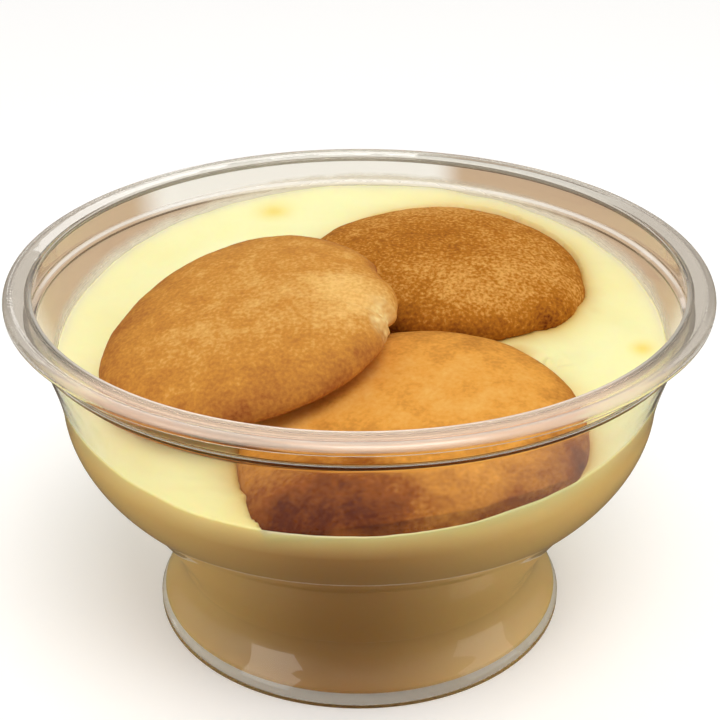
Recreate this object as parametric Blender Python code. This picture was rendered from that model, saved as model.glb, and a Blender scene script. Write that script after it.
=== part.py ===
"""Banana pudding in its clear plastic dessert cup, with three domed wafers.

Metres, +Z up.  The origin is at the middle of the foot, on the surface that
the cup stands on, and -Y is the side that faces the viewer.
"""

import functools
import math

import bmesh
import bpy
from mathutils import Matrix, Vector
from mathutils.geometry import interpolate_bezier

MM = 0.001
WELD = 0.001 * MM
SHARP_ANGLE = 35.0

# Cup, heights above the surface it stands on
CUP_HEIGHT = 52.0 * MM
WALL = 0.8 * MM
RIM_RADIUS = 48.0 * MM
RIM_INNER_RADIUS = 44.5 * MM
RIM_LIP_DROP = 1.9 * MM
RIM_ROUND = 0.9 * MM
COLLAR_RADIUS = 45.4 * MM
COLLAR_FOOT_HEIGHT = CUP_HEIGHT - 4.6 * MM
LEDGE_RADIUS = 44.4 * MM
LEDGE_HEIGHT = CUP_HEIGHT - 5.2 * MM
BELLY_RADIUS = 41.3 * MM
BELLY_HEIGHT = CUP_HEIGHT - 17.2 * MM
BOWL_FOOT_RADIUS = 34.9 * MM
BOWL_FOOT_HEIGHT = CUP_HEIGHT - 28.9 * MM
BOWL_STEP = (0.4 * MM, 0.5 * MM)
NECK_RADIUS = 26.0 * MM
NECK_HEIGHT = 8.0 * MM
FOOT_RADIUS = 29.5 * MM
FOOT_EDGE_HEIGHT = 1.4 * MM
FOOT_CHAMFER = (0.3 * MM, 0.4 * MM)
FOOT_RING_WIDTH = 1.6 * MM
FOOT_RECESS = 1.6 * MM
FOOT_RECESS_SLOPE = 1.5 * MM
FLOOR_ROUND = (0.5 * MM, 0.3 * MM)
TURN_STEPS = 56

# Bezier handles of the cup's outer line: how far each lies outwards and
# upwards of its end of the stretch
FLARE_HANDLES = ((-0.9 * MM, 2.4 * MM), (0.0, -3.2 * MM))
THROAT_HANDLES = ((0.3 * MM, 2.8 * MM), (-4.1 * MM, -5.5 * MM))
BELLY_HANDLES = ((3.6 * MM, 3.0 * MM), (-0.1 * MM, -4.2 * MM))
SHOULDER_HANDLES = ((0.4 * MM, 4.0 * MM), (-1.2 * MM, -4.0 * MM))

# Pudding: a slope that is high at the back and low in front
FIT_GAP = 0.3 * MM
LEVEL_AT_AXIS = CUP_HEIGHT - 11.3 * MM
RISE_TO_BACK = 0.131
RISE_TO_RIGHT = 0.02
WALL_CLIMB = 0.5 * MM
WALL_CLIMB_WIDTH = 5.0 * MM
WAVE_HEIGHT = 0.35 * MM
WAVE_LENGTH = 17.0 * MM
WAVE_OFFSET = 0.6
DIP_DEPTH = 1.8 * MM
DIP_CENTRE = (-12.0 * MM, -23.0 * MM)
DIP_REACH = 11.0 * MM
EDGE_RINGS_START = CUP_HEIGHT - 18.4 * MM
EDGE_RINGS = 4
TOP_RINGS = 9
EDGE_SEARCH_STEPS = 4

# Wafers: a flat base, a rounded side and a domed top
WAFER_THICKNESS = 8.8 * MM
WAFER_WIDEST = 3.0 * MM
WAFER_UNDERCUT = 1.25
DOME_POWER = 2.3
BASE_POWER = 2.2
WAFER_STEPS = 40
DOME_RINGS = 8
BASE_RINGS = 3
CUT_MARGIN = 0.35 * MM
PRESS_HEIGHT = CUP_HEIGHT - 16.4 * MM
PRESS_FILM = 1.0 * MM
PRESS_BLEND = 1.2 * MM

# Each wafer: centre of its widest ring, radius, slope of its base towards the
# left and the front, and its uneven outline as an oval and a three-sided
# share of the radius, each with the direction in degrees in which it is long.
# A chip is a nibbled stretch of edge: direction, half width, share lost.
WAFERS = {
    "wafer_left": {
        "centre": (-14.8 * MM, -5.7 * MM, CUP_HEIGHT - 6.6 * MM),
        "radius": 20.6 * MM,
        "lean": (0.180, 0.115),
        "oval": (0.057, 62.0),
        "three_sided": (0.029, -28.0),
        "chip": (22.0, 9.0, 0.025),
    },
    "wafer_back": {
        "centre": (12.6 * MM, 17.4 * MM, CUP_HEIGHT - 8.8 * MM),
        "radius": 20.1 * MM,
        "lean": (-0.026, 0.023),
        "oval": (0.032, -15.5),
        "three_sided": (0.025, -45.0),
        "chip": (-38.0, 22.0, 0.04),
    },
    "wafer_front": {
        "centre": (6.8 * MM, -21.95 * MM, CUP_HEIGHT - 14.4 * MM),
        "radius": 21.7 * MM,
        "lean": (0.093, 0.186),
        "oval": (0.044, 20.0),
        "three_sided": (0.020, -27.0),
        "chip": None,
    },
}

# Colours as linear red, green, blue
CUP_COLOUR = (0.86, 0.87, 0.85)
CUP_ROUGHNESS = 0.06
CUP_ALPHA = 0.35
PUDDING_COLOUR = (0.93, 0.82, 0.40)
PUDDING_ROUGHNESS = 0.32
WAFER_COLOURS = {
    "wafer_left": (0.60, 0.30, 0.07),
    "wafer_back": (0.50, 0.23, 0.05),
    "wafer_front": (0.68, 0.36, 0.08),
}
WAFER_ROUGHNESS = 0.62


def clear_scene():
    """Remove every object that the file starts with."""
    for item in list(bpy.data.objects):
        bpy.data.objects.remove(item, do_unlink=True)


def make_material(name, colour, roughness, alpha=1.0, transmission=0.0):
    """Return a Principled material with one colour."""
    material = bpy.data.materials.new(name)
    material.use_nodes = True
    shader = material.node_tree.nodes["Principled BSDF"]
    shader.inputs["Base Color"].default_value = (*colour, 1.0)
    shader.inputs["Roughness"].default_value = roughness
    shader.inputs["Metallic"].default_value = 0.0
    shader.inputs["Alpha"].default_value = alpha
    shader.inputs["Transmission Weight"].default_value = transmission
    return material


def make_object(name, work, material):
    """Turn a bmesh into a named, smooth-shaded object."""
    bmesh.ops.recalc_face_normals(work, faces=work.faces)
    mesh = bpy.data.meshes.new(name)
    work.to_mesh(mesh)
    work.free()
    mesh.shade_smooth()
    mesh.set_sharp_from_angle(angle=math.radians(SHARP_ANGLE))
    mesh.materials.append(material)
    item = bpy.data.objects.new(name, mesh)
    bpy.context.scene.collection.objects.link(item)
    return item


def curve_run(start, end, handles, count):
    """Return points (radius, height) along one Bezier stretch."""
    from_start, from_end = handles
    corners = [
        (start[0], start[1], 0.0),
        (start[0] + from_start[0], start[1] + from_start[1], 0.0),
        (end[0] + from_end[0], end[1] + from_end[1], 0.0),
        (end[0], end[1], 0.0),
    ]
    return [(point.x, point.y) for point in interpolate_bezier(*corners, count)]


def lathe(profile, steps):
    """Turn a profile of (radius, height) points about Z into a closed bmesh."""
    work = bmesh.new()
    points = [work.verts.new((radius, 0.0, height)) for radius, height in profile]
    edges = [work.edges.new(pair) for pair in zip(points, points[1:])]
    bmesh.ops.spin(
        work,
        geom=points + edges,
        cent=(0.0, 0.0, 0.0),
        axis=(0.0, 0.0, 1.0),
        angle=math.tau,
        steps=steps,
        use_merge=True,
    )
    bmesh.ops.remove_doubles(work, verts=work.verts, dist=WELD)
    return work


def cup_outside():
    """Return the cup's outer line from the foot up to the collar's ledge."""
    foot_edge = (FOOT_RADIUS, FOOT_EDGE_HEIGHT)
    neck = (NECK_RADIUS, NECK_HEIGHT)
    throat_end = (BOWL_FOOT_RADIUS - BOWL_STEP[0], BOWL_FOOT_HEIGHT - BOWL_STEP[1])
    bowl_foot = (BOWL_FOOT_RADIUS, BOWL_FOOT_HEIGHT)
    belly = (BELLY_RADIUS, BELLY_HEIGHT)
    ledge = (LEDGE_RADIUS, LEDGE_HEIGHT)
    line = curve_run(foot_edge, neck, FLARE_HANDLES, 5)
    line += curve_run(neck, throat_end, THROAT_HANDLES, 7)[1:]
    line += curve_run(bowl_foot, belly, BELLY_HANDLES, 7)
    line += curve_run(belly, ledge, SHOULDER_HANDLES, 6)[1:]
    return line


def offset_inwards(points, distance):
    """Return the line moved towards the axis side by a distance."""
    moved = []
    for index, (radius, height) in enumerate(points):
        before = points[max(index - 1, 0)]
        after = points[min(index + 1, len(points) - 1)]
        along = Vector((after[0] - before[0], after[1] - before[1])).normalized()
        moved.append((radius - along.y * distance, height + along.x * distance))
    return moved


def on_floor(line, floor_height):
    """Return the line from the axis, over a flat floor, up along the wall."""
    width, rise = FLOOR_ROUND
    wall = [point for point in line if point[1] > floor_height + rise]
    return [(0.0, floor_height), (wall[0][0] - width, floor_height)] + wall


def build_cup(material):
    """Build the thin cup: foot, neck, bowl, collar and rolled rim."""
    foot_inner = FOOT_RADIUS - FOOT_RING_WIDTH
    underside = [
        (0.0, FOOT_RECESS),
        (foot_inner - FOOT_RECESS_SLOPE, FOOT_RECESS),
        (foot_inner, 0.0),
        (FOOT_RADIUS - FOOT_CHAMFER[0], 0.0),
        (FOOT_RADIUS, FOOT_CHAMFER[1]),
    ]
    outer_collar = RIM_INNER_RADIUS + WALL
    under_rim = CUP_HEIGHT - WALL
    collar = [
        (COLLAR_RADIUS, COLLAR_FOOT_HEIGHT),
        (outer_collar, under_rim - 1.0 * MM),
        (outer_collar + 0.4 * MM, under_rim - 0.1 * MM),
    ]
    lip_inner = RIM_RADIUS - WALL
    lip_end = CUP_HEIGHT - RIM_LIP_DROP
    rim = [
        (lip_inner - RIM_ROUND, under_rim - 0.1 * MM),
        (lip_inner, CUP_HEIGHT - RIM_ROUND - 0.2 * MM),
        (lip_inner, lip_end),
        (RIM_RADIUS - 0.1 * MM, lip_end),
        (RIM_RADIUS, CUP_HEIGHT - RIM_ROUND),
        (RIM_RADIUS - 0.3 * RIM_ROUND, CUP_HEIGHT - 0.3 * RIM_ROUND),
        (RIM_RADIUS - RIM_ROUND, CUP_HEIGHT),
        (RIM_INNER_RADIUS + 0.9 * MM, CUP_HEIGHT),
        (RIM_INNER_RADIUS + 0.3 * MM, CUP_HEIGHT - 0.25 * MM),
        (RIM_INNER_RADIUS, CUP_HEIGHT - 0.9 * MM),
    ]
    collar_inside = [
        (COLLAR_RADIUS - WALL, COLLAR_FOOT_HEIGHT + 0.5 * MM),
        (LEDGE_RADIUS - WALL, LEDGE_HEIGHT + 0.5 * MM),
    ]
    inside = on_floor(offset_inwards(cup_outside(), WALL), FOOT_RECESS + WALL)
    profile = underside + cup_outside() + collar + rim + collar_inside + inside[::-1]
    return make_object("cup", lathe(profile, TURN_STEPS), material)


@functools.cache
def pudding_side():
    """Return the line that the pudding's side follows, just inside the wall."""
    return offset_inwards(cup_outside(), WALL + FIT_GAP)


def edge_radius(height):
    """Return the pudding's outer radius at a height."""
    line = pudding_side()
    for lower, upper in zip(line, line[1:]):
        if lower[1] <= height <= upper[1]:
            share = (height - lower[1]) / (upper[1] - lower[1])
            return lower[0] + share * (upper[0] - lower[0])
    return line[-1][0]


def surface_height(x, y):
    """Return the height of the pudding's top at a place seen from above."""
    height = LEVEL_AT_AXIS + RISE_TO_BACK * y + RISE_TO_RIGHT * x
    from_wall = edge_radius(height) - math.hypot(x, y)
    height += WALL_CLIMB * math.exp(-max(from_wall, 0.0) / WALL_CLIMB_WIDTH)
    turn = math.tau / WAVE_LENGTH
    height += WAVE_HEIGHT * math.sin(turn * x) * math.cos(turn * y + WAVE_OFFSET)
    reach = math.hypot(x - DIP_CENTRE[0], y - DIP_CENTRE[1]) / DIP_REACH
    return height - DIP_DEPTH * math.exp(-reach * reach)


def top_edge(angle):
    """Return the radius and height where the pudding's top meets its side."""
    radius = BELLY_RADIUS
    for _ in range(EDGE_SEARCH_STEPS):
        height = surface_height(radius * math.cos(angle), radius * math.sin(angle))
        radius = edge_radius(height)
    return radius, height


def shape_pudding_top(work):
    """Bend the upper rings of the turned body to the sloping, wavy top."""
    for vertex in work.verts:
        if vertex.co.z < EDGE_RINGS_START:
            continue
        angle = math.atan2(vertex.co.y, vertex.co.x)
        edge, height = top_edge(angle)
        if vertex.co.z < CUP_HEIGHT:
            rise = (vertex.co.z - EDGE_RINGS_START) / (EDGE_RINGS * MM)
            height = EDGE_RINGS_START + rise * (height - EDGE_RINGS_START)
            radius = edge_radius(height)
        else:
            radius = edge * math.hypot(vertex.co.x, vertex.co.y) / BELLY_RADIUS
            height = surface_height(radius * math.cos(angle), radius * math.sin(angle))
        vertex.co = (radius * math.cos(angle), radius * math.sin(angle), height)


def build_pudding(material, cutters):
    """Build the pudding that fills the cup, with a bed cut for each wafer."""
    side = [point for point in pudding_side() if point[1] < EDGE_RINGS_START - MM]
    profile = on_floor(side, FOOT_RECESS + WALL + FIT_GAP)
    profile.append((edge_radius(EDGE_RINGS_START), EDGE_RINGS_START - 0.1 * MM))
    for ring in range(1, EDGE_RINGS + 1):
        profile.append((BELLY_RADIUS, EDGE_RINGS_START + ring * MM))
    for ring in reversed(range(TOP_RINGS)):
        profile.append((BELLY_RADIUS * ring / TOP_RINGS, CUP_HEIGHT))
    work = lathe(profile, TURN_STEPS)
    shape_pudding_top(work)
    pudding = make_object("pudding", work, material)
    for cutter in cutters:
        cut = pudding.modifiers.new("bed_of_" + cutter.name, "BOOLEAN")
        cut.operation = "DIFFERENCE"
        cut.solver = "EXACT"
        cut.object = cutter
    return pudding


def outline_factor(angle, sizes):
    """Return how far the wafer's edge reaches at an angle, 1 for a circle."""
    factor = 1.0
    for lobes, key in ((2, "oval"), (3, "three_sided")):
        share, direction = sizes[key]
        factor += share * math.cos(lobes * (angle - math.radians(direction)))
    if sizes["chip"] is None:
        return factor
    direction, half_width, lost = sizes["chip"]
    away = (math.degrees(angle) - direction + 180.0) % 360.0 - 180.0
    return factor - lost * max(0.0, 1.0 - (away / half_width) ** 4)


def wafer_profile(radius, margin):
    """Return the wafer's half section, from the base's middle to the top's."""
    top_span = WAFER_THICKNESS - WAFER_WIDEST + margin
    low_span = WAFER_WIDEST * WAFER_UNDERCUT + margin
    reach = radius + margin
    base = -WAFER_WIDEST - margin
    points = [(0.0, base)]
    for ring in range(BASE_RINGS):
        height = base * (1.0 - ring / BASE_RINGS)
        width = (1.0 - (-height / low_span) ** BASE_POWER) ** (1.0 / BASE_POWER)
        points.append((reach * width, height))
    for ring in range(DOME_RINGS + 1):
        share = math.sin(math.pi / 2.0 * ring / DOME_RINGS)
        width = max(0.0, 1.0 - share ** DOME_POWER) ** (1.0 / DOME_POWER)
        points.append((reach * width, top_span * share))
    return points


def press_against_wall(place, margin):
    """Return a point pushed inwards, where it would meet the cup's wall."""
    below = min(1.0, max(0.0, (PRESS_HEIGHT - place.z) / PRESS_BLEND + 0.5))
    limit = edge_radius(place.z) + margin - below * PRESS_FILM
    radius = math.hypot(place.x, place.y)
    if radius > limit:
        place.x *= limit / radius
        place.y *= limit / radius
    return place


def build_wafer(name, material, margin=0.0):
    """Build one domed wafer where it lies, larger all round by a margin."""
    sizes = WAFERS[name]
    work = lathe(wafer_profile(sizes["radius"], margin), WAFER_STEPS)
    up = Vector((-sizes["lean"][0], -sizes["lean"][1], 1.0)).normalized()
    right = (Vector((1.0, 0.0, 0.0)) - up * up.x).normalized()
    placement = Matrix((right, up.cross(right), up)).transposed()
    centre = Vector(sizes["centre"])
    for vertex in work.verts:
        factor = outline_factor(math.atan2(vertex.co.y, vertex.co.x), sizes)
        local = Vector((vertex.co.x * factor, vertex.co.y * factor, vertex.co.z))
        vertex.co = press_against_wall(centre + placement @ local, margin)
    return make_object(name if margin == 0.0 else name + "_cutter", work, material)


def build_cutter(name, material):
    """Build the slightly larger wafer that shapes its bed in the pudding."""
    cutter = build_wafer(name, material, CUT_MARGIN)
    cutter.hide_render = True
    cutter.display_type = "WIRE"
    return cutter


def main():
    """Build the cup, the wafers and the pudding round them."""
    clear_scene()
    plastic = make_material("clear_plastic", CUP_COLOUR, CUP_ROUGHNESS, CUP_ALPHA, 1.0)
    cream = make_material("pudding_cream", PUDDING_COLOUR, PUDDING_ROUGHNESS)
    build_cup(plastic)
    cutters = []
    for name, colour in WAFER_COLOURS.items():
        crust = make_material(name + "_crust", colour, WAFER_ROUGHNESS)
        build_wafer(name, crust)
        cutters.append(build_cutter(name, crust))
    build_pudding(cream, cutters)


main()
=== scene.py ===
"""Looks of a banana pudding in its clear footed cup, with three vanilla wafers.

Everything is in metres, +Z up, with the origin at the middle of the foot, and
-Y is the side that faces the viewer.
"""

import functools
import logging
import math
from collections.abc import Iterable
from dataclasses import dataclass, field
from enum import Enum

import bmesh
import bpy
from mathutils import Matrix, Vector, noise
from mathutils.bvhtree import BVHTree
from mathutils.geometry import interpolate_bezier


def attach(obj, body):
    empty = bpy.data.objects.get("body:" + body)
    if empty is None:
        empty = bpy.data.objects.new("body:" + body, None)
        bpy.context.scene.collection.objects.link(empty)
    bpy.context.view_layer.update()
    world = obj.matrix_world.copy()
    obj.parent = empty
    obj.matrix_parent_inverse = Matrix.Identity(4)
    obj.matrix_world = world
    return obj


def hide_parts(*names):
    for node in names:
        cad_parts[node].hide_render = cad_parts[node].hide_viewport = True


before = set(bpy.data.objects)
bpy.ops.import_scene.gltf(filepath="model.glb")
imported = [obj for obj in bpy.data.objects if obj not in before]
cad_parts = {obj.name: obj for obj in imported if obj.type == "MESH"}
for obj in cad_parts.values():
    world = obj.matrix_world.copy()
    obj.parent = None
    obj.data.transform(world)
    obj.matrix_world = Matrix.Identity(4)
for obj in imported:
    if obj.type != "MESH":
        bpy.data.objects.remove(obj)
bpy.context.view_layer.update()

log = logging.getLogger("banana_pudding")

MM = 0.001
WELD = 0.001 * MM
IMAGE_SIZE = 720
# A rounding takes at most this share of each edge beside it.
EDGE_SHARE = 0.45
Pair = tuple[float, float]
Line = list[Pair]


class Slot(Enum):
    """The record's material slots."""

    PLASTIC = "cup_plastic"
    CREAM = "pudding_cream"
    CRUST = "wafer_crust"


class Place(Enum):
    """Where a wafer lies, named as its solid is."""

    LEFT = "wafer_left"
    BACK = "wafer_back"
    FRONT = "wafer_front"


def linear(code: str, alpha: float = 1.0) -> tuple[float, float, float, float]:
    """Turn an sRGB hex colour into linear red, green, blue and alpha.

    Args:
        code: Six hex digits.
        alpha: The fourth value.

    Returns:
        The linear colour.
    """
    shares = [int(code[index:index + 2], 16) / 255.0 for index in (0, 2, 4)]
    red, green, blue = (s / 12.92 if s <= 0.04045 else ((s + 0.055) / 1.055) ** 2.4 for s in shares)
    return red, green, blue, alpha


def per_metre(size_mm: float) -> float:
    """Return a texture scale for a pattern whose cells are so many millimetres wide."""
    return 1000.0 / size_mm


def add_node(
    tree: bpy.types.NodeTree,
    kind: str,
    inputs: dict[str | int, object] | None = None,
    **settings: object,
) -> bpy.types.Node:
    """Add a node with its settings, its input values and its links.

    Args:
        tree: The node tree that takes the node.
        kind: The node's type, such as ShaderNodeTexNoise.
        inputs: Input name or number, with a value or the socket to link from.
        settings: The node's own properties.

    Returns:
        The new node.
    """
    node = tree.nodes.new(kind)
    for name, value in settings.items():
        setattr(node, name, value)
    for key, value in (inputs or {}).items():
        if isinstance(value, bpy.types.NodeSocket):
            tree.links.new(value, node.inputs[key])
        else:
            node.inputs[key].default_value = value
    return node


def set_ramp(node: bpy.types.Node, stops: list[tuple[float, object]]) -> bpy.types.NodeSocket:
    """Give a colour ramp its stops.

    Args:
        node: The ramp node.
        stops: Place and colour of each stop, in rising order.

    Returns:
        The ramp's colour output.
    """
    ramp = node.color_ramp
    while len(ramp.elements) < len(stops):
        ramp.elements.new(1.0)
    for element, (place, colour) in zip(ramp.elements, stops):
        element.position = place
        element.color = colour
    return node.outputs["Color"]


def new_material(name: str) -> tuple[bpy.types.Material, bpy.types.NodeTree, bpy.types.Node]:
    """Make a material.

    Args:
        name: What the real one is.

    Returns:
        The new material, its node tree and its Principled shader.
    """
    material = bpy.data.materials.new(name)
    material.use_nodes = True
    return material, material.node_tree, material.node_tree.nodes["Principled BSDF"]


def object_from(name: str, work: bmesh.types.BMesh, material: bpy.types.Material) -> bpy.types.Object:
    """Turn a bmesh into a smooth-shaded object at the origin.

    Args:
        name: The object's name.
        work: The mesh, which is freed.
        material: Its one material.

    Returns:
        The new object, linked to the scene.
    """
    mesh = bpy.data.meshes.new(name)
    work.to_mesh(mesh)
    work.free()
    mesh.shade_smooth()
    mesh.materials.append(material)
    item = bpy.data.objects.new(name, mesh)
    bpy.context.scene.collection.objects.link(item)
    return item


def lathe(profile: Line, steps: int) -> bmesh.types.BMesh:
    """Spin a line of radius and height about the upright axis.

    Args:
        profile: The line, from axis to axis for a closed body.
        steps: Segments in the full turn.

    Returns:
        The closed mesh, with its faces outwards.
    """
    work = bmesh.new()
    points = [work.verts.new((radius, 0.0, height)) for radius, height in profile]
    edges = [work.edges.new(pair) for pair in zip(points, points[1:])]
    bmesh.ops.spin(
        work,
        geom=points + edges,
        cent=(0.0, 0.0, 0.0),
        axis=(0.0, 0.0, 1.0),
        angle=math.tau,
        steps=steps,
        use_merge=True,
    )
    bmesh.ops.remove_doubles(work, verts=work.verts, dist=WELD)
    bmesh.ops.recalc_face_normals(work, faces=work.faces)
    return work


def curve_run(start: Pair, end: Pair, handles: tuple[Pair, Pair], count: int) -> Line:
    """Run along one Bezier stretch of a line.

    Args:
        start: Where it starts.
        end: Where it ends.
        handles: Its two handles, each given from its own end.
        count: How many points to give.

    Returns:
        The points.
    """
    from_start, from_end = handles
    corners = (
        (start[0], start[1], 0.0),
        (start[0] + from_start[0], start[1] + from_start[1], 0.0),
        (end[0] + from_end[0], end[1] + from_end[1], 0.0),
        (end[0], end[1], 0.0),
    )
    return [(point.x, point.y) for point in interpolate_bezier(*corners, count)]


def offset_inwards(points: Line, distance: float) -> Line:
    """Move a line towards the axis.

    Args:
        points: The line, from below upwards.
        distance: How far it moves.

    Returns:
        The moved line.
    """
    moved = []
    for index, (radius, height) in enumerate(points):
        before = points[max(index - 1, 0)]
        after = points[min(index + 1, len(points) - 1)]
        along = Vector((after[0] - before[0], after[1] - before[1])).normalized()
        moved.append((radius - along.y * distance, height + along.x * distance))
    return moved


def clamped(value: float) -> float:
    """Return a value kept between 0 and 1."""
    return min(1.0, max(0.0, value))


def rounded(points: Line, radius: float, count: int = 4) -> Line:
    """Round each inner corner of a line.

    Args:
        points: The line's corners.
        radius: How far from each corner the rounding starts, at most.
        count: Points for each corner.

    Returns:
        The line with its corners rounded.
    """
    line = [points[0]]
    for before, corner, after in zip(points, points[1:], points[2:]):
        to_before = Vector(before) - Vector(corner)
        to_after = Vector(after) - Vector(corner)
        reach = min(radius, to_before.length * EDGE_SHARE, to_after.length * EDGE_SHARE)
        start = Vector(corner) + to_before.normalized() * reach
        end = Vector(corner) + to_after.normalized() * reach
        for index in range(count):
            share = index / (count - 1)
            first = start.lerp(Vector(corner), share)
            second = Vector(corner).lerp(end, share)
            line.append(tuple(first.lerp(second, share)))
    line.append(points[-1])
    return line


@dataclass(frozen=True)
class Unevenness:
    """One run of small unevenness, which only bends the light.

    Its cells' width and the height that they stand out are in millimetres.
    """

    width: float
    height: float
    detail: float
    strength: float


def uneven(
    tree: bpy.types.NodeTree,
    place: bpy.types.NodeSocket,
    runs: Iterable[tuple[Unevenness, bpy.types.NodeSocket | float]],
) -> bpy.types.NodeSocket:
    """Lay runs of small unevenness over one another.

    Args:
        tree: The material's node tree.
        place: The point on the surface.
        runs: Each run, from the lowest up, with the share of it that shows.

    Returns:
        The direction that the surface faces, for the shader's Normal.
    """
    below: dict[str, bpy.types.NodeSocket] = {}
    for run, share in runs:
        pattern = add_node(
            tree,
            "ShaderNodeTexNoise",
            {"Vector": place, "Scale": per_metre(run.width), "Detail": run.detail},
        ).outputs["Fac"]
        height = add_node(tree, "ShaderNodeMath", {0: pattern, 1: share}, operation="MULTIPLY").outputs[0]
        bump = add_node(
            tree,
            "ShaderNodeBump",
            {"Height": height, "Strength": run.strength, "Distance": run.height * MM, **below},
        )
        below = {"Normal": bump.outputs[0]}
    return below["Normal"]


def layered(
    tree: bpy.types.NodeTree,
    ground: object,
    layers: Iterable[tuple[bpy.types.NodeSocket, object]],
) -> bpy.types.NodeSocket:
    """Lay colours over one another.

    Args:
        tree: The material's node tree.
        ground: The lowest colour.
        layers: The share that each layer covers and its colour, from the lowest up.

    Returns:
        The colour that shows.
    """
    shown = ground
    for share, colour in layers:
        shown = add_node(
            tree, "ShaderNodeMix", {0: share, 6: shown, 7: colour}, data_type="RGBA"
        ).outputs[2]
    return shown


class Measure(Enum):
    """What a patch of the plastic is measured along."""

    DEPTH = "towards the far side"
    HEIGHT = "above the foot"
    RADIUS = "from the upright axis"
    BESIDE = "to either side of the white collar's middle"
    OVER_LINE = "above the line that the pudding left"


@dataclass(frozen=True)
class Patch:
    """A soft-edged patch of the plastic.

    Each limit is a measure with two places in millimetres: where the patch starts, and where
    it is whole. A patch may also stay inside some of the patches before it, or outside them.
    """

    limits: tuple[tuple[Measure, float, float], ...] = ()
    inside: tuple[str, ...] = ()
    outside: tuple[str, ...] = ()


PATCHES = {
    "flange": Patch(((Measure.HEIGHT, 50.9, 51.3),)),
    "far_side": Patch(((Measure.DEPTH, -14.0, 4.0),)),
    # The white band on the far collar is a painted reflection.
    "painted_collar_reflection": Patch(
        ((Measure.HEIGHT, 46.9, 47.3), (Measure.DEPTH, 20.0, 30.0), (Measure.BESIDE, 26.0, 18.0))
    ),
    # far_wall_shade is painted shade: the tan of shaded things seen through the far wall above the pudding.
    "far_wall_shade": Patch(((Measure.HEIGHT, 36.0, 40.0),), ("far_side",), ("painted_collar_reflection",)),
    "smear": Patch(((Measure.OVER_LINE, 39.8, 40.5), (Measure.OVER_LINE, 42.8, 40.9)), ("far_side",)),
    # The flange's darker sides are painted shade and its lighter back is painted light.
    "flange_side_shade": Patch(((Measure.DEPTH, -36.0, -24.0),)),
    "flange_back_light": Patch(((Measure.DEPTH, 18.0, 38.0),)),
    "bead": Patch(((Measure.RADIUS, 46.2, 46.8),), ("flange",)),
    "inner_edge": Patch(
        ((Measure.RADIUS, 44.75, 44.5), (Measure.HEIGHT, 49.9, 50.6)), outside=("far_side",)
    ),
    "ledge": Patch(((Measure.HEIGHT, 46.85, 46.95), (Measure.HEIGHT, 47.75, 47.6))),
    # The dark line along the front ledge is painted shade.
    "front_ledge_shade": Patch(inside=("ledge",), outside=("far_side",)),
    # The white line on the far ledge is a painted highlight.
    "back_ledge_highlight": Patch(((Measure.HEIGHT, 47.3, 47.45), (Measure.DEPTH, -6.0, 10.0)), ("ledge",)),
    "dull_wall": Patch(((Measure.HEIGHT, 29.0, 33.0),), outside=("bead",)),
}


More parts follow.
